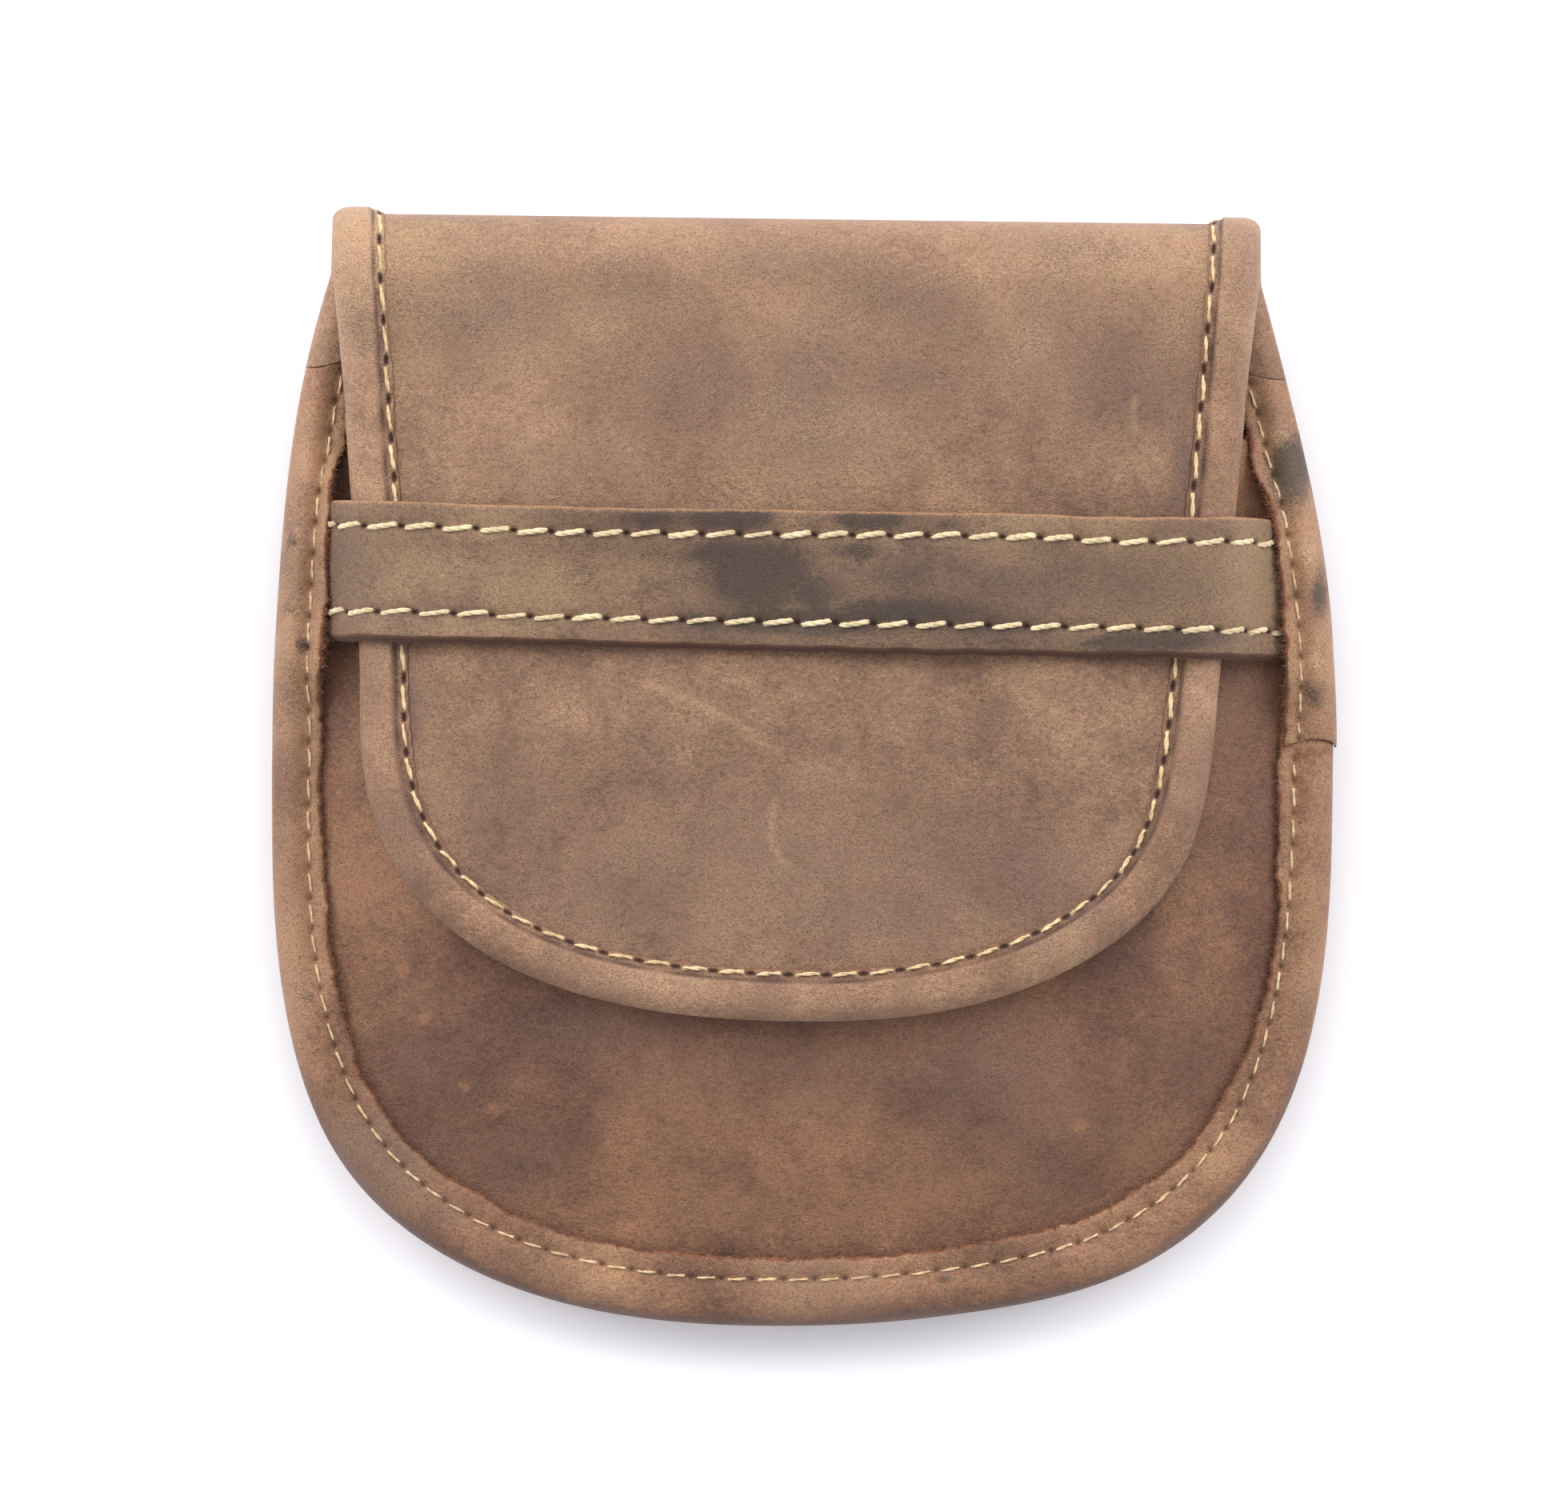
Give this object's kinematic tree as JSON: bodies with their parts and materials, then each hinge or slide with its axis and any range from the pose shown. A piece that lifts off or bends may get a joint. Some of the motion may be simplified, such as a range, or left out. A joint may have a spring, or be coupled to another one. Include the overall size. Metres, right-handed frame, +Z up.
{
  "type": "leather cartridge pouch",
  "caption": "Flat brown leather cartridge pouch with a round foot, a bound flap tucked under a fixed cross strap, and a belt loop on the back",
  "frame": {"origin": "centre of the bounding box in X and Y, on the floor that the pouch lies on", "axes": "+X to the wearer's left, the right of the picture; +Y towards the fold; +Z up, out of the front"},
  "size_m": [0.1404, 0.1472, 0.0262],
  "materials": {
    "flap_leather": "waxed, mottled",
    "front_leather": "waxed, mottled",
    "seam_binding_leather": "waxed, raw edges",
    "flap_binding_leather": "waxed, turned edge",
    "strap_leather": "waxed, stained, raw edges",
    "loop_leather": "waxed"
  },
  "bodies": {
    "root": {"back_and_flap": "flap_leather", "front_panel": "front_leather", "body_binding_long": "seam_binding_leather", "body_binding_short": "seam_binding_leather", "flap_binding": "flap_binding_leather", "closing_strap": "strap_leather", "belt_loop": "loop_leather"}
  },
  "joints": []
}
